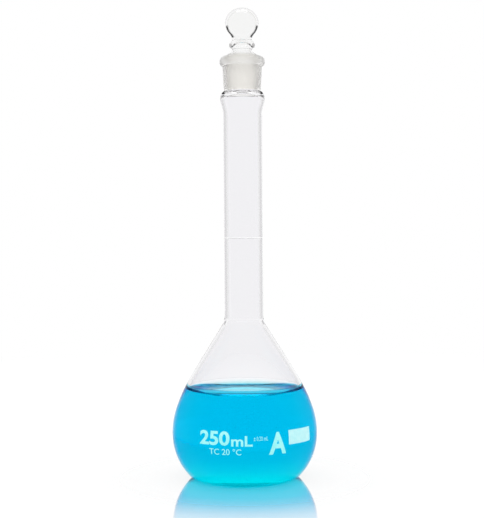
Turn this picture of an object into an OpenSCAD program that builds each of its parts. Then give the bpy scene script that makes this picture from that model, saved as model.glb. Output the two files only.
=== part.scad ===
// Pear-shaped volumetric flask of 250 mL with a ground glass joint and a blown, hollow stopper.
// All sizes are millimetres. The axis is Z, and the origin is the middle of the foot, on the
// surface that the flask stands on.

/* [Bulb] */
// Outside diameter of the bulb at its widest
bulb_d = 80; // [74:0.5:88]
// Height of the widest point above the surface the flask stands on
belly_z = 24.8; // [22:0.2:28]
// Radius of the side below the widest point
side_r = 33.4; // [31:0.2:38]
// Radius of the heel, where the side turns under to the foot
heel_r = 8; // [5:0.5:11]
// Radius of the curve just above the widest point
belly_r = 43; // [38:0.5:48]
// Angle that the curve above the widest point turns through
belly_turn = 19; // [14:0.5:24]
// Radius of the slacker curve that runs on into the cone
shoulder_r = 91; // [70:1:110]
// Angle between the cone and the axis
cone_angle = 32; // [29:0.5:36]
// Radius of the hollow curve between the cone and the neck
neck_blend_r = 10.7; // [7:0.1:15]
// Thickness of the bulb's side
bulb_wall = 1.76; // [1.2:0.02:2.4]
// Thickness of the glass in the middle of the foot
foot_wall = 2.6; // [1.8:0.1:3.6]
// Height that the middle of the foot is pushed up
push_up = 2.2; // [1:0.1:3.5]
// Width of the flat ring that the flask stands on
foot_ring = 1.6; // [1:0.1:3]

/* [Neck] */
// Outside diameter of the neck
neck_d = 21.5; // [20:0.1:23]
// Thickness of the neck's wall
neck_wall = 1.8; // [1.2:0.1:2.2]
// Length of the neck tube, between its two fused seams
neck_len = 111.4; // [90:0.2:130]

/* [Ground socket] */
// Greatest outside diameter of the swelling below the socket
swell_d = 24.5; // [23.5:0.1:27]
// Thickness of the glass at the swelling
swell_wall = 1.5; // [1.2:0.1:1.8]
// Height from the neck tube to the widest point of the swelling
swell_rise = 8.1; // [6:0.1:11]
// Height from there to the lower end of the tapered bore
swell_top = 4.3; // [3:0.1:6]
// Length of the tapered bore
bore_len = 19.3; // [17:0.1:22]
// Diameter of the tapered bore at the rim
joint_d = 18.8; // [18:0.1:19.6]
// Length over which the bore's diameter grows by one
taper = 10; // [8:0.5:14]
// Thickness of the socket's wall
socket_wall = 1.75; // [1.4:0.05:2.1]
// Outside diameter of the bead round the rim
bead_d = 24.9; // [24:0.1:27]
// Height of the bead
bead_h = 5.5; // [5.1:0.1:7]
// Radius of the bead's lower edge
bead_low_r = 2.2; // [1.6:0.1:2.4]
// Radius of the bead's upper edge
bead_high_r = 2.7; // [2:0.1:2.7]

/* [Stopper] */
// Gap all round between the plug and the bore
joint_gap = 0.03; // [0.01:0.01:0.08]
// Length of the plug below the rim
plug_len = 20.3; // [18:0.1:22]
// Radius of the plug's lower edge
plug_end_r = 2; // [1:0.1:2.5]
// Thickness of the plug's wall
plug_wall = 1.5; // [1:0.1:2]
// Height of the plug's shoulder above the rim
shoulder_h = 2.7; // [2:0.1:4]
// Height from there over which the shoulder runs out into the stem
shoulder_run = 0.7; // [0.4:0.1:1]
// Diameter of the stem
stem_d = 11.2; // [10:0.1:12.4]
// Thickness of the stem's wall
stem_wall = 1.7; // [1.2:0.1:2.4]
// Diameter of the collar on the stem
collar_d = 14.7; // [13.6:0.1:16.5]
// Thickness of the collar
collar_h = 4; // [3:0.1:5]
// Height of the collar's middle above the rim
collar_z = 6.4; // [5.6:0.1:7]
// Diameter of the hollow ball
ball_d = 18.8; // [17:0.1:21]
// Height of the hollow ball, which is a little flattened
ball_h = 17.2; // [16:0.1:19]
// Height of the ball's middle above the rim
ball_z = 18.3; // [18:0.1:21]
// Angle below the ball's widest point at which it begins to run into the stem
ball_leave = 39; // [34:1:44]
// Thickness of the ball's wall
ball_wall = 1.2; // [0.8:0.1:1.8]

/* [Marks] */
// Height of the graduation line above the seam at the foot of the neck
line_z = 43; // [20:0.5:90]
// Width of the graduation line
line_w = 0.5; // [0.3:0.1:0.8]
// Thickness of the fired enamel
enamel_t = 0.1; // [0.05:0.05:0.3]
// Gap between the enamel and the curve of the glass
enamel_gap = 0.03; // [0.02:0.01:0.05]
// Width of the white patch for writing on
patch_w = 17.1; // [10:0.1:24]
// Height of the patch
patch_h = 7.5; // [5:0.1:10]
// Height of the patch's middle above the foot
patch_z = 27.3; // [20:0.1:34]
// Angle round from the front to the patch's middle
patch_turn = 47.6; // [30:0.2:70]

/* [Solution] */
// Level of the solution above the surface the flask stands on
fill_z = 47.4; // [12:0.2:70]
// Height that the solution climbs at the glass
meniscus_h = 4.2; // [1:0.1:4.4]
// Distance over which the climb dies away to a third, 2.7 for water
climb_w = 2.7; // [2.4:0.1:3]
// Gap between the solution's skin and the curve of the glass
film = 0.03; // [0.02:0.01:0.06]

/* [Hidden] */
$fn = 96;
// Greatest distance between a curve and the chords that draw it
sag = 0.02;
// The meniscus is drawn in so many steps, each to this share of the last one's height
meniscus_steps = 13;
meniscus_step = 0.75;

neck_r = neck_d / 2;
bulb_r = bulb_d / 2;
joint_r = joint_d / 2;

// The heel's curve meets the side's at heel_turn below the level of the widest point
heel_turn = asin((belly_z - heel_r) / (side_r - heel_r));
heel_x = bulb_r - side_r + (side_r - heel_r) * cos(heel_turn);
// Middle of the curve that runs into the cone
shoulder_x = bulb_r - belly_r + (belly_r - shoulder_r) * cos(belly_turn);
shoulder_z = belly_z + (belly_r - shoulder_r) * sin(belly_turn);
// Middle of the hollow curve, which ends level with it at the neck
blend_x = neck_r + neck_blend_r;
cone_foot_x = shoulder_x + shoulder_r * cos(cone_angle);
cone_foot_z = shoulder_z + shoulder_r * sin(cone_angle);
cone_head_x = blend_x - neck_blend_r * cos(cone_angle);
seam_z = cone_foot_z + (cone_foot_x - cone_head_x) / tan(cone_angle) + neck_blend_r * sin(cone_angle);

socket_z = seam_z + neck_len;
swell_z = socket_z + swell_rise;
bore_z = swell_z + swell_top;
rim_z = bore_z + bore_len;
bore_foot_r = joint_r - bore_len / (2 * taper);

// Points along an arc about [x, z]; from = 1 leaves out the first, where another curve already ends there
function arc(x, z, r, a0, a1, from = 1) =
    let (n = max(1, ceil(abs(a1 - a0) / (2 * acos(1 - sag / max(r, 4 * sag))))))
    [for (i = [from:n]) let (a = a0 + (a1 - a0) * i / n) [x + r * cos(a), z + r * sin(a)]];

// Points of an ellipse about [x, z] with half axes a and b
function oval(x, z, a, b, a0, a1, n = 16, from = 1) =
    [for (i = [from:n]) let (t = a0 + (a1 - a0) * i / n) [x + a * cos(t), z + b * sin(t)]];

// Points of the smooth curve that leaves p0 towards p1 and comes into p2 from p1
function bend(p0, p1, p2, n = 8) =
    [for (i = [1:n]) let (t = i / n) (1 - t) * (1 - t) * p0 + 2 * t * (1 - t) * p1 + t * t * p2];

// A shallow dome over the axis, which comes down to height z at radius w
function dome(w, z, rise) =
    let (r = (w * w + rise * rise) / (2 * rise))
    arc(0, z + rise - r, r, 90, acos(w / r), 0);

function turned_round(points) = [for (i = [len(points) - 1:-1:0]) points[i]];

// The bulb's side from the foot to the neck, at a depth below its outer face
function bulb_side(depth) = concat(
    arc(heel_x, heel_r, heel_r - depth, -90, -heel_turn, 0),
    arc(bulb_r - side_r, belly_z, side_r - depth, -heel_turn, 0),
    arc(bulb_r - belly_r, belly_z, belly_r - depth, 0, belly_turn),
    arc(shoulder_x, shoulder_z, shoulder_r - depth, belly_turn, cone_angle),
    arc(blend_x, seam_z, neck_blend_r + depth, 180 + cone_angle, 180, 0)
);

// The floor and the side of the space inside the bulb, drawn in by a gap
function bulb_space(gap) =
    let (floor_z = bulb_wall + gap, side = bulb_side(bulb_wall + gap))
    concat(
        dome(heel_x, floor_z, push_up + foot_wall - bulb_wall),
        [for (i = [1:len(side) - 1]) side[i]]
    );

module bulb() {
    color("aliceblue", 0.4)
        rotate_extrude()
            polygon(concat(
                dome(heel_x - foot_ring, 0, push_up),
                bulb_side(0),
                turned_round(bulb_space(0))
            ));
}

module neck_tube() {
    over = 1;
    color("aliceblue", 0.4)
        translate([0, 0, seam_z])
            difference() {
                cylinder(r = neck_r, h = neck_len);
                translate([0, 0, -over]) cylinder(r = neck_r - neck_wall, h = neck_len + 2 * over);
            }
}

// One side of the swelling: an easy rise from the neck, then a quick turn in to the socket
function swelling(foot_r, wide_r, head_r, n = 8) = concat(
    [for (i = [0:n]) let (t = i / n)
        [foot_r + (wide_r - foot_r) * (1 - cos(180 * t)) / 2, socket_z + swell_rise * t]],
    oval(head_r, swell_z, wide_r - head_r, swell_top, 0, 90, n)
);

module socket_wall_section() {
    polygon(concat(
        swelling(neck_r, swell_d / 2, bore_foot_r + socket_wall),
        [[joint_r + socket_wall, rim_z], [joint_r, rim_z]],
        turned_round(swelling(neck_r - neck_wall, swell_d / 2 - swell_wall, bore_foot_r))
    ));
}

module bead_section() {
    bead_r = bead_d / 2;
    bead_z = rim_z - bead_h;
    polygon(concat(
        [[joint_r, bead_z]],
        arc(bead_r - bead_low_r, bead_z + bead_low_r, bead_low_r, -90, 0, 0),
        arc(bead_r - bead_high_r, rim_z - bead_high_r, bead_high_r, 0, 90, 0),
        [[joint_r, rim_z]]
    ));
}

module ground_socket() {
    color("gainsboro", 0.6)
        rotate_extrude()
            union() {
                socket_wall_section();
                bead_section();
            }
}

// The stopper's side from the plug's end to the crown of the ball, or the same side seen from
// inside, with each stretch drawn in by its own wall
function stopper_side(plug_in, stem_in, ball_in) =
    let (
        plug_r = joint_r - joint_gap - plug_in,
        foot_r = plug_r - plug_len / (2 * taper),
        foot_z = rim_z - plug_len + plug_in,
        edge_r = plug_end_r - plug_in,
        stem_r = stem_d / 2 - stem_in,
        shoulder_z = rim_z + shoulder_h,
        plug_head = [plug_r, rim_z - plug_in / 2],
        a = ball_d / 2 - ball_in,
        b = ball_h / 2 - ball_in,
        leave = [a * cos(ball_leave), rim_z + ball_z - b * sin(ball_leave)],
        corner = [stem_r, leave[1] - (leave[0] - stem_r) * b / a / tan(ball_leave)],
        start = [stem_r, corner[1] - norm(leave - corner)]
    )
    concat(
        [[0, foot_z]],
        arc(foot_r - edge_r, foot_z + edge_r, edge_r, -90, 0, 0),
        [plug_head],
        bend(plug_head, [stem_r, shoulder_z - plug_in / 2], [stem_r, shoulder_z + shoulder_run]),
        [start],
        bend(start, corner, leave),
        oval(0, rim_z + ball_z, a, b, -ball_leave, 90, 20)
    );

module stopper() {
    collar_lip = (collar_d - stem_d) / 2;
    color("gainsboro", 0.6)
        rotate_extrude()
            difference() {
                union() {
                    polygon(stopper_side(0, 0, 0));
                    polygon(concat(
                        [[stem_d / 2 - stem_wall / 2, rim_z + collar_z]],
                        oval(stem_d / 2, rim_z + collar_z, collar_lip, collar_h / 2, -90, 90, from = 0)
                    ));
                }
                polygon(stopper_side(plug_wall, stem_wall, ball_wall));
            }
}

module graduation_ring() {
    color("silver")
        translate([0, 0, seam_z + line_z - line_w / 2])
            difference() {
                cylinder(r = neck_r + enamel_gap + enamel_t, h = line_w);
                translate([0, 0, -line_w]) cylinder(r = neck_r + enamel_gap, h = 3 * line_w);
            }
}

// The part of a skin round the bulb that a block standing in front of it cuts out
module writing_patch() {
    color("paleturquoise")
        intersection() {
            rotate_extrude()
                polygon(concat(
                    bulb_side(-enamel_gap - enamel_t),
                    turned_round(bulb_side(-enamel_gap))
                ));
            rotate([0, 0, patch_turn - 90])
                translate([0, -patch_w / 2, patch_z - patch_h / 2])
                    cube([bulb_d, patch_w, patch_h]);
        }
}

// How far from the glass a liquid's curved edge lies, less a constant, at height h above its level
function curved_edge(h) =
    let (q = 2 * climb_w / h)
    climb_w * (ln(q + sqrt(q * q - 1)) - sqrt(4 - pow(h / climb_w, 2)));

// Points of the meniscus, from the level part up to the glass at radius r
function meniscus(r) = concat(
    let (h = meniscus_h * pow(meniscus_step, meniscus_steps))
    [[r - curved_edge(h) + curved_edge(meniscus_h) - climb_w, fill_z]],
    [for (i = [meniscus_steps:-1:0]) let (h = meniscus_h * pow(meniscus_step, i))
        [r - curved_edge(h) + curved_edge(meniscus_h), fill_z + h]]
);

module solution() {
    side = bulb_side(bulb_wall + film);
    climb_z = fill_z + meniscus_h;
    edge_r = lookup(climb_z, [for (p = side) [p[1], p[0]]]);
    color("deepskyblue", 0.8)
        rotate_extrude()
            intersection() {
                polygon(concat(bulb_space(film), [[0, seam_z]]));
                polygon(concat(
                    [[0, 0], [0, fill_z]],
                    meniscus(edge_r),
                    [[bulb_d, climb_z], [bulb_d, 0]]
                ));
            }
}

bulb();
neck_tube();
ground_socket();
stopper();
graduation_ring();
writing_patch();
solution();
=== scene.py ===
import math

import bmesh
import bpy
from mathutils import Matrix, Vector


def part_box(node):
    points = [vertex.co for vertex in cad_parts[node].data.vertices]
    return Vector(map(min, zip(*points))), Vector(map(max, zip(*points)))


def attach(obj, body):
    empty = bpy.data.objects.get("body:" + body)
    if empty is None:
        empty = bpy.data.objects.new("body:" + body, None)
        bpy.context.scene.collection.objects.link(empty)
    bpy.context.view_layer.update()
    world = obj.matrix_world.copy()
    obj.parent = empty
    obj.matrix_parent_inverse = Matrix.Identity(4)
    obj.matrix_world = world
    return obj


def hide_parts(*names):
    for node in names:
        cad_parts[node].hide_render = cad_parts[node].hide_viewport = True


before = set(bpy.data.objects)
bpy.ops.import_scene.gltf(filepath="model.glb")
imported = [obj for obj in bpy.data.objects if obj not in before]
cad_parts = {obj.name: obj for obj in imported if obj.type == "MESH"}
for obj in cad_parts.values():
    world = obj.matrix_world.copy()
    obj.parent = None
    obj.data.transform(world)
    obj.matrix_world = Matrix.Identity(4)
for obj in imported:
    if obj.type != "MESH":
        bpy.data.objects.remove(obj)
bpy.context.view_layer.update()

# Every size below is in millimetres and every angle in degrees, unless it says otherwise.
MM = 0.001


def top(node):
    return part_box(node)[1].z / MM


def bottom(node):
    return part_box(node)[0].z / MM


def radius(node):
    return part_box(node)[1].x / MM


def sin(angle):
    return math.sin(math.radians(angle))


def cos(angle):
    return math.cos(math.radians(angle))


# ---------------------------------------------------------------------------
# Sizes of the blown body
# ---------------------------------------------------------------------------
BULB_R = radius("bulb")
BELLY_Z = 24.8
SIDE_R = 33.4
HEEL_R = 8.0
BELLY_R = 43.0
BELLY_TURN = 19.0
SHOULDER_R = 91.0
CONE_ANGLE = 32.0
NECK_BLEND_R = 10.7
BULB_WALL = 1.76
FOOT_WALL = 2.6
FOOT_EXTRA = 0.9
PUSH_UP = 2.2
FOOT_RING = 1.6
FOOT_WORN_H = 2.6

NECK_R = radius("neck_tube")
NECK_WALL = 1.8
SEAM_Z = top("bulb")
SOCKET_Z = top("neck_tube")
RIM_Z = top("ground_socket")

SWELL_R = 12.25
SWELL_WALL = 1.5
SWELL_RISE = 8.1
SWELL_TOP = 4.3
SWELL_Z = SOCKET_Z + SWELL_RISE
BORE_Z = SWELL_Z + SWELL_TOP
JOINT_R = 9.4
TAPER = 10.0
BORE_FOOT_R = JOINT_R - (RIM_Z - BORE_Z) / (2 * TAPER)
SOCKET_WALL = 1.75
BEAD_R = radius("ground_socket")
BEAD_Z = RIM_Z - 5.5
BEAD_LOW_R = 2.2
BEAD_HIGH_R = 2.7
# The wall turns out into the bead over this height, and meets it this far out and this far below
TUCK_H = 0.5
TUCK_W = 0.25
TUCK_DROP = 0.05

# Each fused seam's height, how far its ridge stands out, and how far above and below it reaches
INNER_SEAM = (SEAM_Z - 3.4, -0.16, 0.9)
OUTER_SEAM = (SOCKET_Z + 0.4, 0.05, 0.8)

# The heel's curve meets the side's at this angle below the level of the widest point
HEEL_TURN = math.degrees(math.asin((BELLY_Z - HEEL_R) / (SIDE_R - HEEL_R)))
HEEL_X = BULB_R - SIDE_R + (SIDE_R - HEEL_R) * cos(HEEL_TURN)
SHOULDER_X = BULB_R - BELLY_R + (BELLY_R - SHOULDER_R) * cos(BELLY_TURN)
SHOULDER_Z = BELLY_Z + (BELLY_R - SHOULDER_R) * sin(BELLY_TURN)
BLEND_X = NECK_R + NECK_BLEND_R

# Sizes of the stopper
PLUG_END_Z = bottom("stopper")
JOINT_GAP = 0.03
PLUG_R = JOINT_R - JOINT_GAP
PLUG_END_R = 2.0
PLUG_WALL = 1.5
SHOULDER_H = 2.7
SHOULDER_RUN = 0.7
STEM_R = 5.6
STEM_WALL = 1.7
COLLAR_R = 7.05
COLLAR_H = 4.0
COLLAR_Z = RIM_Z + 6.4
COLLAR_TURN = 50.0
# Where the collar's underside leaves its fillet, as shares of its lip and of its height
COLLAR_FOOT = (0.45, 0.38)
FILLET_H = 0.5
FILLET_PULL = 0.1
BALL_R = 9.4
BALL_HALF_H = 8.6
BALL_Z = top("stopper") - BALL_HALF_H
# How far round below its middle the ball gives way to the stem's fillet
BALL_LEAVE = 39.0
BALL_WALL = 1.2

# Sizes of the solution, whose edge climbs the wall in steps that each keep a share of the last
LEVEL_Z = 46.6
CLIMB_H = 4.7
CLIMB_W = 2.5
CLIMB_STEPS = 26
CLIMB_KEPT = 0.86
# How far the solution's skin lies inside the wall, where glass and liquid touch without air
WETTED = 0.1

# Sizes of the enamel figures, and how far apart their faces are cut to follow the bulb
ENAMEL_T = 0.08
ENAMEL_GAP = 0.01
FIGURE_PITCH = 0.9

# How far apart the rings of points stand on straight sides
NECK_PITCH = 4.0
CONE_PITCH = 1.5
JOINT_PITCH = 1.2
# A step up a side that would be shorter than this is left out
LEAST_STEP = 0.05
# How many points a dome has from its edge to the axis, and how many flats a turned piece has
DOME_STEPS = 14
TURNS = 192
# Points nearer to each other than this are one: in metres on a turned piece, and in the
# letters' own units on letters, which are laid out about one unit high
SAME_POINT = 1e-6
SAME_LETTER_POINT = 1e-5


# ---------------------------------------------------------------------------
# Outlines, as (radius, height) points
# ---------------------------------------------------------------------------
def oval(x, z, a, b, start, end, count, first=1):
    """An oval's arc about a middle; first=1 leaves out the point that the last curve ended on."""
    turn = (end - start) / count
    angles = [start + turn * i for i in range(first, count + 1)]
    return [(x + a * cos(angle), z + b * sin(angle)) for angle in angles]


def arc(x, z, r, start, end, step=2.0, first=0):
    """A circle's arc in steps of about so many degrees."""
    count = max(2, math.ceil(abs(end - start) / step))
    return oval(x, z, r, r, start, end, count, first)


def bend(p0, p1, p2, count=12):
    """A soft turn from one point to another that heads for the point between them."""
    points = []
    for i in range(1, count + 1):
        t = i / count
        a, b, c = (1 - t) ** 2, 2 * t * (1 - t), t * t
        points.append((a * p0[0] + b * p1[0] + c * p2[0], a * p0[1] + b * p1[1] + c * p2[1]))
    return points


def straight(r0, z0, r1, z1, pitch):
    """The points between two ends of a straight side, at about a pitch, without the ends."""
    count = max(1, round(math.dist((r0, z0), (r1, z1)) / pitch))
    return [(r0 + (r1 - r0) * i / count, z0 + (z1 - z0) * i / count) for i in range(1, count)]


def eased(r0, z0, r1, z1, count=20, first=0):
    """A soft step from one radius to another, upright at both ends."""
    share = [(i / count, (1 - cos(180 * i / count)) / 2) for i in range(first, count + 1)]
    return [(r0 + (r1 - r0) * turn, z0 + (z1 - z0) * rise) for rise, turn in share]


def dome(width, z, rise):
    """A shallow rise from a width to the axis, for the pushed-up foot."""
    r = (width ** 2 + rise ** 2) / (2 * rise)
    edge = math.degrees(math.acos(width / r))
    return arc(0, z + rise - r, r, 90, edge, step=(90 - edge) / DOME_STEPS)


def radius_at(outline, z):
    """The radius at which an outline first passes a height."""
    for (r0, z0), (r1, z1) in zip(outline, outline[1:]):
        if min(z0, z1) <= z <= max(z0, z1) and z0 != z1:
            return r0 + (r1 - r0) * (z - z0) / (z1 - z0)


def fused_seam(outline, z, height, width):
    """Raises a soft ridge round an outline at a height, as where two tubes were fused."""
    return [(r + height * math.exp(-((h - z) / width) ** 2), h) for r, h in outline]


def heel(depth):
    """The lowest curve, whose inner skin rises from the outer one towards the thick foot."""
    points = arc(HEEL_X, HEEL_R, HEEL_R - depth, -90, -HEEL_TURN, step=2.5)
    high = points[-1][1]
    extra = FOOT_EXTRA if depth > 0 else 0
    return [(r, z + extra * ((high - z) / (HEEL_R - high)) ** 2) for r, z in points]


def bulb_side(depth):
    """The bulb's side from its foot to the neck, a depth inside the glass's outer face."""
    side = heel(depth)
    for x, z, r, start, end, step in (
        (BULB_R - SIDE_R, BELLY_Z, SIDE_R, -HEEL_TURN, 0, 1.5),
        (BULB_R - BELLY_R, BELLY_Z, BELLY_R, 0, BELLY_TURN, 1.5),
        (SHOULDER_X, SHOULDER_Z, SHOULDER_R, BELLY_TURN, CONE_ANGLE, 1.0),
    ):
        side += arc(x, z, r - depth, start, end, step, first=1)
    blend = arc(BLEND_X, SEAM_Z, NECK_BLEND_R + depth, 180 + CONE_ANGLE, 180)
    return side + straight(*side[-1], *blend[0], CONE_PITCH) + blend


def neck_side(r, wide_r):
    """The neck and the swelling above it, up to the swelling's widest point."""
    neck = straight(r, SEAM_Z, r, SOCKET_Z, NECK_PITCH)
    return neck + eased(r, SOCKET_Z, wide_r, SWELL_Z, count=24)


def bead():
    side_r = BORE_FOOT_R + SOCKET_WALL + (BEAD_Z - BORE_Z) / (2 * TAPER)
    low = arc(BEAD_R - BEAD_LOW_R, BEAD_Z + BEAD_LOW_R, BEAD_LOW_R, -90, 0, step=6)
    high = arc(BEAD_R - BEAD_HIGH_R, RIM_Z - BEAD_HIGH_R, BEAD_HIGH_R, 0, 90, step=6)
    lip = [p for p in low if p[0] > side_r + TUCK_W]
    foot = (side_r, BEAD_Z - TUCK_H)
    tuck = bend(foot, (side_r, lip[0][1] - TUCK_DROP), lip[0], count=5)
    return [foot] + tuck[:-1] + lip + high


def body_outline():
    """The whole section of the glass body: under the foot, up outside, down inside, to the axis."""
    outside = bulb_side(0) + neck_side(NECK_R, SWELL_R)
    head_r = BORE_FOOT_R + SOCKET_WALL
    outside += oval(head_r, SWELL_Z, SWELL_R - head_r, SWELL_TOP, 0, 90, count=16)
    outside += bead()
    inside = bulb_side(BULB_WALL) + neck_side(NECK_R - NECK_WALL, SWELL_R - SWELL_WALL)
    inside += eased(SWELL_R - SWELL_WALL, SWELL_Z, BORE_FOOT_R, BORE_Z, first=1)
    inside += straight(BORE_FOOT_R, BORE_Z, JOINT_R, RIM_Z, JOINT_PITCH)
    inside += [(JOINT_R, RIM_Z)]
    inside = fused_seam(inside, *INNER_SEAM)
    outside = fused_seam(outside, *OUTER_SEAM)
    floor = dome(HEEL_X, inside[0][1], PUSH_UP + FOOT_WALL - inside[0][1])
    under = dome(HEEL_X - FOOT_RING, 0, PUSH_UP)
    return under + outside + inside[::-1][:-1] + floor[::-1]


def collar_side(stem_r):
    """The collar, with a fillet where it leaves the stem and where it meets it again."""
    lip = COLLAR_R - STEM_R
    low, high = COLLAR_Z - COLLAR_H / 2, COLLAR_Z + COLLAR_H / 2
    foot = (stem_r + COLLAR_FOOT[0] * lip, COLLAR_Z - COLLAR_FOOT[1] * COLLAR_H)
    side = [(stem_r, low - FILLET_H)]
    side += bend(side[0], (stem_r, low + FILLET_PULL), foot, count=5)
    side += oval(stem_r, COLLAR_Z, lip, COLLAR_H / 2, -COLLAR_TURN, COLLAR_TURN, count=14)
    end = (stem_r, high + FILLET_H)
    return side + bend(side[-1], (stem_r, high - FILLET_PULL), end, count=5)


def stopper_side(plug_in, stem_in, ball_in):
    """The stopper's side from its plug's end to its top, at a depth inside each of its lengths."""
    plug_r = PLUG_R - plug_in
    foot_r = plug_r - (RIM_Z - PLUG_END_Z) / (2 * TAPER)
    foot_z = PLUG_END_Z + plug_in
    edge_r = PLUG_END_R - plug_in
    stem_r = STEM_R - stem_in
    head = (plug_r, RIM_Z - plug_in / 2)
    shoulder_z = RIM_Z + SHOULDER_H
    # The stem's fillet into the ball starts as far below their corner as it ends beyond it
    a, b = BALL_R - ball_in, BALL_HALF_H - ball_in
    leave = (a * cos(BALL_LEAVE), BALL_Z - b * sin(BALL_LEAVE))
    steepness = b / a / math.tan(math.radians(BALL_LEAVE))
    corner = (stem_r, leave[1] - (leave[0] - stem_r) * steepness)
    start = (stem_r, corner[1] - math.dist(leave, corner))
    side = [(0, foot_z)] + arc(foot_r - edge_r, foot_z + edge_r, edge_r, -90, 0, step=8)
    side += straight(foot_r, foot_z + edge_r, *head, JOINT_PITCH) + [head]
    side += bend(head, (stem_r, shoulder_z - plug_in / 2), (stem_r, shoulder_z + SHOULDER_RUN))
    if stem_in == 0:
        side += collar_side(stem_r)
    if start[1] > side[-1][1] + LEAST_STEP:
        side.append(start)
    side += bend(side[-1], corner, leave)
    return side + oval(0, BALL_Z, a, b, -BALL_LEAVE, 90, count=40)


def curved_edge(h):
    """How far in from an upright wall the climbing edge of a liquid reaches a height."""
    return CLIMB_W * (math.acosh(2 * CLIMB_W / h) - math.sqrt(4 - (h / CLIMB_W) ** 2))


def solution_outline():
    side = bulb_side(BULB_WALL - WETTED)
    contact_z = LEVEL_Z + CLIMB_H
    glass_r = radius_at(bulb_side(BULB_WALL), contact_z)
    climbed = [CLIMB_H * CLIMB_KEPT ** i for i in range(CLIMB_STEPS + 1)]
    edge = [(glass_r - curved_edge(h) + curved_edge(CLIMB_H), LEVEL_Z + h) for h in climbed]
    last_r = edge[-1][0]
    edge += [(last_r - CLIMB_W, LEVEL_Z), (last_r / 2, LEVEL_Z), (0, LEVEL_Z)]
    floor = dome(HEEL_X, side[0][1], PUSH_UP + FOOT_WALL - WETTED - side[0][1])
    wall = [p for p in side if p[1] < contact_z] + [(radius_at(side, contact_z), contact_z)]
    return floor + wall[1:] + edge


# ---------------------------------------------------------------------------
# Shader nodes
# ---------------------------------------------------------------------------
def new_material(name):
    material = bpy.data.materials.new(name)
    material.use_nodes = True
    material.node_tree.nodes.clear()
    return material, material.node_tree


def feed(tree, entry, value):
    """Sets an input to a number or a colour, or links it to another node's output."""
    if isinstance(value, bpy.types.NodeSocket):
        tree.links.new(value, entry)
    else:
        entry.default_value = value


def add_node(tree, kind, **values):
    """Adds a node; a name that isn't one of its inputs is one of its settings."""
    made = tree.nodes.new("ShaderNode" + kind)
    for key, value in values.items():
        name = key.replace("_", " ")
        if name in made.inputs.keys():
            feed(tree, made.inputs[name], value)
        else:
            setattr(made, key, value)
    return made


def ramp(tree, share, stops):
    """A colour that goes through stops as a share rises; a single number is a grey."""
    made = add_node(tree, "ValToRGB", Fac=share)
    elements = made.color_ramp.elements
    while len(elements) < len(stops):
        elements.new(0.5)
    for element, (place, colour) in zip(elements, stops):
        element.position = place
        element.color = (colour, colour, colour, 1.0) if isinstance(colour, float) else colour
    return made.outputs["Color"]


def ranged(tree, value, low, high):
    """A share that goes from 0 to 1 as a value goes from low to high."""
    made = add_node(tree, "MapRange", Value=value, From_Min=low, From_Max=high)
    return made.outputs["Result"]


def mixed(tree, share, low, high):
    """A value that goes from low to high as a share goes from 0 to 1."""
    return add_node(tree, "MapRange", Value=share, To_Min=low, To_Max=high).outputs["Result"]


def mixed_colour(tree, share, low, high):
    """A colour that goes from low to high as a share goes from 0 to 1."""
    return add_node(tree, "MixRGB", Fac=share, Color1=low, Color2=high).outputs["Color"]


def mixed_shader(tree, share, low, high):
    """A shader that goes from low to high as a share goes from 0 to 1."""
    made = add_node(tree, "MixShader")
    for entry, value in zip(made.inputs, (share, low, high)):
        feed(tree, entry, value)
    return made.outputs["Shader"]


def calculated(tree, operation, *terms):
    """The result of a sum; each term is a number or another node's output."""
    made = add_node(tree, "Math", operation=operation)
    for entry, term in zip(made.inputs, terms):
        feed(tree, entry, term)
    return made.outputs["Value"]


def noise(tree, place, scale, detail, roughness=0.5):
    made = add_node(tree, "TexNoise", Vector=place, Scale=scale, Detail=detail, Roughness=roughness)
    return made.outputs["Fac"]


def bumped(tree, height, strength, distance):
    """A normal roughened by a height; the distance is in metres."""
    made = add_node(tree, "Bump", Height=height, Strength=strength, Distance=distance)
    return made.outputs["Normal"]


def object_place(tree):
    return add_node(tree, "TexCoord").outputs["Object"]


def attribute(tree, name, output):
    return add_node(tree, "Attribute", attribute_name=name).outputs[output]


def facing(tree):
    """0 where a skin is seen straight on and 1 where it is seen along itself."""
    return add_node(tree, "LayerWeight").outputs["Facing"]


def leaving(tree):
    """1 where light meets a skin from behind, and 0 where it enters."""
    return add_node(tree, "NewGeometry").outputs["Backfacing"]


def entering(tree):
    return calculated(tree, "SUBTRACT", 1.0, leaving(tree))


# ---------------------------------------------------------------------------
# Materials
# ---------------------------------------------------------------------------
WHITE = (1.0, 1.0, 1.0, 1.0)
BLACK = (0.0, 0.0, 0.0, 1.0)
GLASS_IOR = 1.473
WATER_IOR = 1.333
ENAMEL_IOR = 1.5

# The face attribute that says how far a skin of glass is ground, from 0 for polished to 1 for matt
GROUND_SKIN = "ground_skin"
GROUND_TINT = (0.995, 0.99, 0.979, 1.0)
# The share of grinding from which the skin has the ground tint
GROUND_FROM = 0.15
# Roughness along the smears of polished glass and along the grain of ground glass
POLISHED_ROUGHNESS = ((0.45, 0.0), (0.8, 0.03))
GROUND_ROUGHNESS = ((0.3, 0.34), (0.7, 0.48))
# How much deeper the grain of ground glass is than the waves of blown glass
GRAIN_DEPTH = 17.0

# Colours of polished skins, and of the glass itself
GLASS_TINT = (0.962, 0.96, 0.968, 1.0)
STOPPER_TINT = (0.972, 0.972, 0.97, 1.0)
INNER_TINT = (0.715, 0.708, 0.722, 1.0)
INNER_DENSITY = 12.0
# How much of its mirror the glass keeps where it is seen straight on
GLASS_SHINE = (0.05, 0.05, 0.05, 1.0)
# Its mirror comes back between these two facings, where plain refraction goes from the first of
# these shares to the second
RIM_FACINGS = (0.68, 0.92)
RIM_PLAINNESS = (0.92, 0.25)

# Roughness of enamel where it is thin and where it is thick
ENAMEL_ROUGHNESS = ((0.3, 0.52), (0.7, 0.32))

# The point attribute that says at which facing a painted shade line shows, how wide it is and how
# dark: painted shade for the darker surroundings that a thick wall refracts inside its edge
PAINTED_EDGE_SHADE = "painted_edge_shade"
# The colour of the painted shade lines
PAINTED_SHADE_TINT = (0.01, 0.01, 0.012, 1.0)

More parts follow.
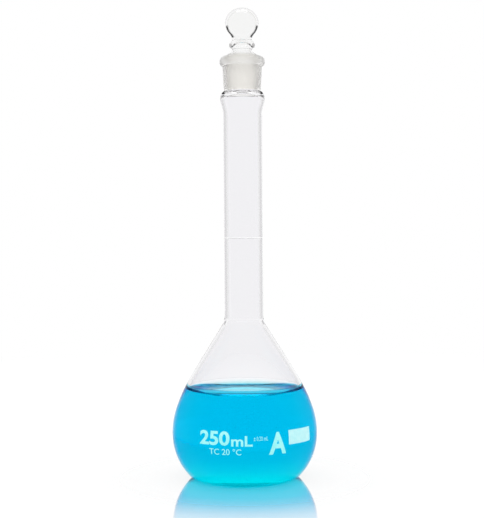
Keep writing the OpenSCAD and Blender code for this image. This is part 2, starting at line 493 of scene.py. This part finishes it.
# The face attribute that is 1 where the solution's skin is open to the air
OPEN_SKIN = "open_skin"
# Colours of the solution's skin along its height, paler towards the foot as painted light for the
# brighter lower part, and of the solution itself
DYE_AND_PAINTED_LIGHT = (
    (0.1, (0.25, 1.0, 1.0, 1.0)),
    (0.19, (0.2, 0.77, 0.95, 1.0)),
    (0.3, (0.08, 0.635, 0.905, 1.0)),
)
DYE_TINT = (0.0, 0.989, 0.998, 1.0)
DYE_DENSITY = 180.0
# Over how much of its height, just below its level, the solution's skin loses its dye
EDGE_FADE = 0.02


def painted_edge_shade(tree):
    """How much a ray that enters is dimmed by painted shade: a dark line inside a thick wall's
    edge, for the darker surroundings that the wall refracts there.
    """
    line = add_node(tree, "SeparateXYZ", Vector=attribute(tree, PAINTED_EDGE_SHADE, "Vector"))
    gap = calculated(tree, "SUBTRACT", facing(tree), line.outputs["X"])
    fade = add_node(
        tree, "MapRange", interpolation_type="SMOOTHSTEP", Value=calculated(tree, "ABSOLUTE", gap),
        From_Max=line.outputs["Y"], To_Min=1.0, To_Max=0.0,
    )
    shade = calculated(tree, "MULTIPLY", fade.outputs["Result"], line.outputs["Z"])
    return calculated(tree, "MULTIPLY", shade, entering(tree))


def clear_glass(name, streak, tint):
    """Borosilicate, streaked along its length and frosted where the mesh says that it is ground."""
    material, tree = new_material(name)
    place = object_place(tree)
    stretched = add_node(tree, "Mapping", Vector=place, Scale=(1.0, 1.0, streak)).outputs["Vector"]
    waves = noise(tree, stretched, scale=120.0, detail=1.0, roughness=0.4)
    smears = noise(tree, place, scale=60.0, detail=4.0, roughness=0.6)
    grain = noise(tree, place, scale=2600.0, detail=3.0, roughness=0.7)
    ground = attribute(tree, GROUND_SKIN, "Fac")
    skin = ramp(tree, ground, ((0.0, tint), (GROUND_FROM, GROUND_TINT)))
    # Painted shade: the glass darkens to the shade tint along its painted edge lines
    colour = mixed_colour(tree, painted_edge_shade(tree), skin, PAINTED_SHADE_TINT)
    polished = ramp(tree, smears, POLISHED_ROUGHNESS)
    frosted = ramp(tree, grain, GROUND_ROUGHNESS)
    rough = mixed(tree, ground, polished, frosted)
    height = mixed(tree, ground, waves, calculated(tree, "MULTIPLY", grain, GRAIN_DEPTH))
    normal = bumped(tree, height, strength=0.02, distance=0.00003)
    shiny = add_node(
        tree, "BsdfPrincipled", IOR=GLASS_IOR, Transmission_Weight=1.0, Specular_Tint=GLASS_SHINE,
        Base_Color=colour, Roughness=rough, Normal=normal,
    )
    plain = add_node(
        tree, "BsdfRefraction", IOR=GLASS_IOR, Color=colour, Roughness=rough, Normal=normal,
    )
    towards_rim = ranged(tree, facing(tree), *RIM_FACINGS)
    plainness = mixed(tree, towards_rim, *RIM_PLAINNESS)
    dulled = calculated(tree, "MULTIPLY", entering(tree), plainness)
    surface = mixed_shader(tree, dulled, shiny.outputs["BSDF"], plain.outputs["BSDF"])
    inner = add_node(tree, "VolumeAbsorption", Color=INNER_TINT, Density=INNER_DENSITY)
    add_node(tree, "OutputMaterial", Surface=surface, Volume=inner.outputs["Volume"])
    return material


def dyed_water(name):
    """Clear blue solution, stirred by a ripple too slight to see but in reflections."""
    material, tree = new_material(name)
    place = object_place(tree)
    height = add_node(tree, "SeparateXYZ", Vector=place).outputs["Z"]
    share = ranged(tree, height, 0.0, (LEVEL_Z + CLIMB_H) * MM)
    level = LEVEL_Z / (LEVEL_Z + CLIMB_H)
    climbing = ranged(tree, share, level - EDGE_FADE, level)
    film = calculated(tree, "MULTIPLY", climbing, leaving(tree))
    undyed = calculated(tree, "MAXIMUM", attribute(tree, OPEN_SKIN, "Fac"), film)
    # The skin's colour pales towards the foot: painted light on top of the dye's own colour
    colour = mixed_colour(tree, undyed, ramp(tree, share, DYE_AND_PAINTED_LIGHT), WHITE)
    ripple = noise(tree, place, scale=90.0, detail=1.0, roughness=0.4)
    surface = add_node(
        tree, "BsdfPrincipled", IOR=WATER_IOR, Transmission_Weight=1.0, Specular_Tint=BLACK,
        Base_Color=colour, Roughness=0.0,
        Normal=bumped(tree, ripple, strength=0.08, distance=0.00005),
    )
    inner = add_node(tree, "VolumeAbsorption", Color=DYE_TINT, Density=DYE_DENSITY)
    add_node(
        tree, "OutputMaterial",
        Surface=surface.outputs["BSDF"], Volume=inner.outputs["Volume"],
    )
    return material


def fired_enamel(name, thin, thick, scale):
    """Screen-printed enamel, a little uneven in thickness, so its colour and gloss vary."""
    material, tree = new_material(name)
    place = object_place(tree)
    clouds = noise(tree, place, scale=scale, detail=5.0, roughness=0.6)
    grain = noise(tree, place, scale=scale * 9, detail=2.0)
    surface = add_node(
        tree, "BsdfPrincipled", IOR=ENAMEL_IOR,
        Base_Color=ramp(tree, clouds, ((0.35, thin), (0.65, thick))),
        Roughness=ramp(tree, clouds, ENAMEL_ROUGHNESS),
        Normal=bumped(tree, grain, strength=0.2, distance=0.00002),
    )
    add_node(tree, "OutputMaterial", Surface=surface.outputs["BSDF"])
    return material


BLOWN_GLASS = clear_glass("blown glass", 0.08, GLASS_TINT)
STOPPER_GLASS = clear_glass("stopper glass", 0.4, STOPPER_TINT)
BLUE_SOLUTION = dyed_water("blue solution")
# The patch and the figures are white enamel; their blue tint, deepest where the enamel is thin, is
# painted light: the blue solution's light showing through from behind
PATCH_ENAMEL_PAINTED_BACKLIGHT = fired_enamel(
    "thick white enamel, painted backlight", (0.46, 0.92, 0.96, 1.0), (0.58, 0.98, 1.0, 1.0), 320.0,
)
PRINT_ENAMEL_PAINTED_BACKLIGHT = fired_enamel(
    "printed white enamel, painted backlight", (0.3, 0.95, 0.96, 1.0), (0.42, 1.0, 1.0, 1.0), 320.0,
)
LINE_ENAMEL = fired_enamel("line enamel", (0.95, 0.95, 0.96, 1.0), WHITE, 500.0)


# ---------------------------------------------------------------------------
# Pieces
# ---------------------------------------------------------------------------
# How far a skin is ground on the socket's outer wall, on its bead and where the foot is worn
WALL_GROUND = 0.4
BEAD_GROUND = 0.9
FOOT_GROUND = 0.5
BORE_GROUND_Z = BORE_Z + 1.6
PLUG_GROUND_Z = RIM_Z + 2.2
PLUG_GROUND_R = BORE_FOOT_R - 0.6

# The painted shade lines inside the outlines, for the darker surroundings that the thick glass
# refracts there:
# heights from and to, the fade at both ends, how far inside the outline, half the width, how dark,
# and the radius where the glass is a ball and not a tube
BODY_PAINTED_SHADE = (
    (LEVEL_Z + 4, SEAM_Z - 4, 3.0, 2.3, 1.6, 0.12, 0),
    (SEAM_Z - 5, SEAM_Z - 2, 0.7, 1.1, 0.8, 0.5, 0),
    (SEAM_Z - 2, SWELL_Z, 1.0, 1.5, 1.4, 0.26, 0),
    (SWELL_Z + 0.4, BORE_Z - 0.6, 0.4, 1.5, 1.0, 0.4, 0),
)
STOPPER_PAINTED_SHADE = (
    (COLLAR_Z - 1.7, COLLAR_Z, 0.4, 3.2, 1.0, 1.0, 0),
    (COLLAR_Z + 3.2, BALL_Z - 1.6, 0.8, 1.25, 1.1, 1.1, 0),
    (BALL_Z - 1.6, BALL_Z + 2 * BALL_R, 0.5, 0.0, 1.0, 0.18, BALL_R),
)
# A skin that points outwards less than this is too level for a painted shade line
LEAST_OUTWARD = 0.05

# The solution's skin is open above this height, unless it points outwards, to the wall
OPEN_FROM_Z = LEVEL_Z - 0.1
WALL_OUTWARD = 0.3

# Words, angles from and to round from the front, heights from and to, and how much they are bold
FIGURES = (
    ("250", -36.1, -11.6, 24.2, 31.6, 0.03),
    ("mL", -10.3, 5.7, 23.9, 29.3, 0.022),
    ("A", 18.4, 32.9, 19.1, 30.7, 0.032),
    ("TC 20 °C", -27.9, -2.8, 19.3, 22.6, 0.004),
    ("± 0.20 mL", 6.6, 17.6, 26.7, 28.9, 0.0),
)


def outwardness(normal, place):
    """1 where a normal points straight away from the axis, 0 where it points along it."""
    reach = math.hypot(place.x, place.y)
    return (normal.x * place.x + normal.y * place.y) / reach if reach > 0.1 * MM else 0.0


def in_millimetres(place):
    """A place's distance from the axis and its height."""
    return math.hypot(place.x, place.y) / MM, place.z / MM


def edge_facing(inset, r, outward):
    """The facing of a round skin, seen from the side, at a distance inside its outline."""
    return 1 - outward * math.sqrt(1 - (1 - max(inset, 0) / r) ** 2)


def paint_edge_shade(data, shade_lines):
    """Writes on each point at which facing its painted shade line shows, how wide it is and how
    dark.
    """
    layer = data.attributes.new(PAINTED_EDGE_SHADE, "FLOAT_VECTOR", "POINT")
    for point, value in zip(data.vertices, layer.data):
        r, z = in_millimetres(point.co)
        outward = outwardness(point.normal, point.co)
        for low, high, fade, inset, width, darkness, ball_r in shade_lines:
            share = min(1, (z - low) / fade, (high - z) / fade)
            upright = outward > LEAST_OUTWARD and r > inset + width
            if share > 0 and (ball_r or upright):
                skin = (ball_r, 1) if ball_r else (r, outward)
                near = edge_facing(inset + width, *skin)
                far = edge_facing(inset - width, *skin)
                value.vector = ((near + far) / 2, (far - near) / 2, share * darkness)


def finished(name, mesh, material, body, smooth=40.0, shade_lines=()):
    data = bpy.data.meshes.new(name)
    mesh.to_mesh(data)
    mesh.free()
    if shade_lines:
        paint_edge_shade(data, shade_lines)
    data.materials.append(material)
    data.polygons.foreach_set("use_smooth", [True] * len(data.polygons))
    data.set_sharp_from_angle(angle=math.radians(smooth))
    piece = bpy.data.objects.new(name, data)
    bpy.context.scene.collection.objects.link(piece)
    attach(piece, body)
    return piece


def turn_on_lathe(mesh, outline, hollow=False):
    """Spins an outline about the axis into a closed skin; a hollow's skin faces into the hollow."""
    start = math.pi / TURNS
    across, along = math.cos(start), math.sin(start)
    points = [mesh.verts.new((r * MM * across, r * MM * along, z * MM)) for r, z in outline]
    edges = [mesh.edges.new(pair) for pair in zip(points, points[1:])]
    before = set(mesh.faces)
    bmesh.ops.spin(
        mesh, geom=points + edges, cent=(0, 0, 0), axis=(0, 0, 1),
        angle=math.tau, steps=TURNS, use_merge=True, use_duplicate=False,
    )
    bmesh.ops.remove_doubles(mesh, verts=mesh.verts[:], dist=SAME_POINT)
    made = [f for f in mesh.faces if f not in before]
    bmesh.ops.recalc_face_normals(mesh, faces=made)
    if hollow:
        bmesh.ops.reverse_faces(mesh, faces=made)
    return made


def make_body():
    mesh = bmesh.new()
    ground = mesh.faces.layers.float.new(GROUND_SKIN)
    for face in turn_on_lathe(mesh, body_outline()):
        r, z = in_millimetres(face.calc_center_median())
        if z > BORE_GROUND_Z and r < JOINT_R:
            face[ground] = 1.0
        elif BORE_Z < z < BEAD_Z:
            face[ground] = WALL_GROUND
        elif z > BEAD_Z:
            face[ground] = BEAD_GROUND
        elif z < FOOT_WORN_H and r > HEEL_X:
            face[ground] = FOOT_GROUND
    piece = finished(
        "flask_body", mesh, BLOWN_GLASS, "flask", shade_lines=BODY_PAINTED_SHADE,
    )
    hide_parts("bulb", "neck_tube", "ground_socket")


def make_stopper():
    mesh = bmesh.new()
    ground = mesh.faces.layers.float.new(GROUND_SKIN)
    for face in turn_on_lathe(mesh, stopper_side(0, 0, 0)):
        r, z = in_millimetres(face.calc_center_median())
        face[ground] = float(z < PLUG_GROUND_Z and r > PLUG_GROUND_R)
    hollow = bmesh.new()
    turn_on_lathe(hollow, stopper_side(PLUG_WALL, STEM_WALL, BALL_WALL), hollow=True)
    inside = bpy.data.meshes.new("hollow")
    hollow.to_mesh(inside)
    hollow.free()
    mesh.from_mesh(inside)
    bpy.data.meshes.remove(inside)
    piece = finished(
        "ball_stopper", mesh, STOPPER_GLASS, "stopper", shade_lines=STOPPER_PAINTED_SHADE,
    )
    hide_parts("stopper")


def make_solution():
    mesh = bmesh.new()
    uncovered = mesh.faces.layers.float.new(OPEN_SKIN)
    for face in turn_on_lathe(mesh, solution_outline()):
        middle = face.calc_center_median()
        at_surface = middle.z / MM > OPEN_FROM_Z
        at_wall = outwardness(face.normal, middle) > WALL_OUTWARD
        face[uncovered] = float(at_surface and not at_wall)
    piece = finished(
        "solution_fill", mesh, BLUE_SOLUTION, "flask", smooth=60.0,
    )
    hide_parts("solution")


def on_bulb(side, turn, z, lift):
    """The point a lift above the bulb's outer face, at an angle round from the front."""
    step = 0.2
    r = radius_at(side, z)
    up = (radius_at(side, z + step) - radius_at(side, z - step)) / (2 * step)
    slope = math.hypot(1, up)
    r, z = r + lift / slope, z - lift * up / slope
    return Vector((r * sin(turn), -r * cos(turn), z)) * MM


def solid_words(words, weight):
    """Solid letters that lie flat, about one unit high."""
    letters = bpy.data.curves.new(words, "FONT")
    letters.body = words
    letters.size = 1.0
    letters.extrude = 0.05
    letters.offset = weight
    letters.resolution_u = 6
    source = bpy.data.objects.new(words, letters)
    bpy.context.scene.collection.objects.link(source)
    bpy.context.view_layer.update()
    flat = bpy.data.meshes.new_from_object(source)
    bpy.data.objects.remove(source)
    bpy.data.curves.remove(letters)
    mesh = bmesh.new()
    mesh.from_mesh(flat)
    bpy.data.meshes.remove(flat)
    bmesh.ops.remove_doubles(mesh, verts=mesh.verts[:], dist=SAME_LETTER_POINT)
    return mesh


def lettering(words, left, right, low, high, weight):
    """Enamel figures laid on the bulb between two angles and two heights."""
    mesh = solid_words(words, weight)
    low_x, high_x = (pick(v.co.x for v in mesh.verts) for pick in (min, max))
    low_y, high_y = (pick(v.co.y for v in mesh.verts) for pick in (min, max))
    scale = (high - low) / (high_y - low_y)
    for normal, start, end in (
        (Vector((1, 0, 0)), low_x, high_x),
        (Vector((0, 1, 0)), low_y, high_y),
    ):
        count = max(2, round((end - start) * scale / FIGURE_PITCH))
        for i in range(1, count):
            bmesh.ops.bisect_plane(
                mesh, geom=mesh.verts[:] + mesh.edges[:] + mesh.faces[:], dist=SAME_LETTER_POINT,
                plane_co=normal * (start + (end - start) * i / count), plane_no=normal,
            )
    side = bulb_side(0)
    for v in mesh.verts:
        turn = left + (right - left) * (v.co.x - low_x) / (high_x - low_x)
        z = low + (high - low) * (v.co.y - low_y) / (high_y - low_y)
        v.co = on_bulb(side, turn, z, ENAMEL_GAP + ENAMEL_T * (v.co.z > 0))
    bmesh.ops.recalc_face_normals(mesh, faces=mesh.faces[:])
    return mesh


def make_figures():
    for number, line in enumerate(FIGURES):
        finished(
            f"figures_{number}", lettering(*line), PRINT_ENAMEL_PAINTED_BACKLIGHT, "flask",
            smooth=30.0,
        )


def dress(node_name, material):
    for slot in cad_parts[node_name].material_slots:
        slot.material = material


make_body()
make_stopper()
make_solution()
make_figures()
dress("graduation_ring", LINE_ENAMEL)
dress("writing_patch", PATCH_ENAMEL_PAINTED_BACKLIGHT)


# ---------------------------------------------------------------------------
# Room
# ---------------------------------------------------------------------------
# Distances in metres: half the table's width, how far its polish reaches, and where the white
# backdrop starts to take over and has done so
TABLE_REACH = 30.0
POLISH_REACH = 0.125
BACKDROP_FROM = 0.3
BACKDROP_TO = 0.7
# The share of polish along its reach, and its roughness
POLISH = ((0.44, 0.86), (0.56, 0.74), (0.66, 0.55), (0.74, 0.42), (1.0, 0.1))
POLISH_ROUGHNESS = 0.04

# The soft box, in metres and watts, and the place that it points at
LAMP_PLACE = Vector((0.0, 0.3, 1.5))
LAMP_SIZE = (0.9, 0.7)
LAMP_POWER = 2.6
LAMP_AIM = Vector((0.0, 0.0, 0.12))

# The eye is level with the middle of the flask and at arm's length, and looks down a little
EYE = Vector((-0.8, -608.85, 127.86))
EYE_DIP = 0.677
EYE_ROLL = 0.41
LENS = 76.45
SENSOR_W = 36.0


def seen_directly(tree):
    """1 where the eye sees a surface, or sees it mirrored or through glass, and 0 for its light."""
    path = add_node(tree, "LightPath").outputs
    first = calculated(tree, "MAXIMUM", path["Is Camera Ray"], path["Is Glossy Ray"])
    return calculated(tree, "MAXIMUM", first, path["Is Transmission Ray"])


def make_floor():
    mesh = bmesh.new()
    bmesh.ops.create_grid(mesh, x_segments=1, y_segments=1, size=TABLE_REACH)
    data = bpy.data.meshes.new("table")
    mesh.to_mesh(data)
    mesh.free()
    floor = bpy.data.objects.new("table", data)
    bpy.context.scene.collection.objects.link(floor)
    material, tree = new_material("polished white table")
    length = add_node(tree, "VectorMath", operation="LENGTH", Vector=object_place(tree))
    reach = length.outputs["Value"]
    polish = ramp(tree, ranged(tree, reach, 0.0, POLISH_REACH), POLISH)
    matt = add_node(tree, "BsdfDiffuse", Color=WHITE)
    shine = add_node(tree, "BsdfAnisotropic", Color=WHITE, Roughness=POLISH_ROUGHNESS)
    table_top = mixed_shader(tree, polish, matt.outputs["BSDF"], shine.outputs["BSDF"])
    distant = ranged(tree, reach, BACKDROP_FROM, BACKDROP_TO)
    backdrop = add_node(tree, "Emission", Strength=1.0)
    seen = calculated(tree, "MULTIPLY", distant, seen_directly(tree))
    whole = mixed_shader(tree, seen, table_top, backdrop.outputs["Emission"])
    add_node(tree, "OutputMaterial", Surface=whole)
    data.materials.append(material)


def make_room():
    world = bpy.data.worlds.new("white room")
    bpy.context.scene.world = world
    world.use_nodes = True
    tree = world.node_tree
    tree.nodes.clear()
    around = add_node(tree, "Background", Color=WHITE, Strength=1.0)
    add_node(tree, "OutputWorld", Surface=around.outputs["Background"])


def make_lamp():
    lamp = bpy.data.lights.new("overhead soft box", "AREA")
    lamp.shape = "RECTANGLE"
    lamp.size, lamp.size_y = LAMP_SIZE
    lamp.energy = LAMP_POWER
    holder = bpy.data.objects.new("overhead soft box", lamp)
    bpy.context.scene.collection.objects.link(holder)
    holder.location = LAMP_PLACE
    holder.rotation_mode = "QUATERNION"
    holder.rotation_quaternion = (LAMP_PLACE - LAMP_AIM).to_track_quat("Z", "Y")


def make_camera():
    view = bpy.data.cameras.new("camera")
    view.lens = LENS
    view.sensor_width = SENSOR_W
    view.clip_start = 0.01
    view.clip_end = 100.0
    camera = bpy.data.objects.new("camera", view)
    bpy.context.scene.collection.objects.link(camera)
    level = Matrix.Rotation(math.radians(90 - EYE_DIP), 4, "X")
    roll = Matrix.Rotation(math.radians(EYE_ROLL), 4, "Y")
    camera.matrix_world = Matrix.Translation(EYE * MM) @ roll @ level
    bpy.context.scene.camera = camera


make_floor()
make_room()
make_lamp()
make_camera()

bpy.context.scene.view_settings.view_transform = "Standard"
# Light crosses up to eight skins on its way through the joint, more where it is turned back inside
bpy.context.scene.cycles.max_bounces = 48
bpy.context.scene.cycles.transmission_bounces = 48
bpy.context.scene.cycles.glossy_bounces = 16
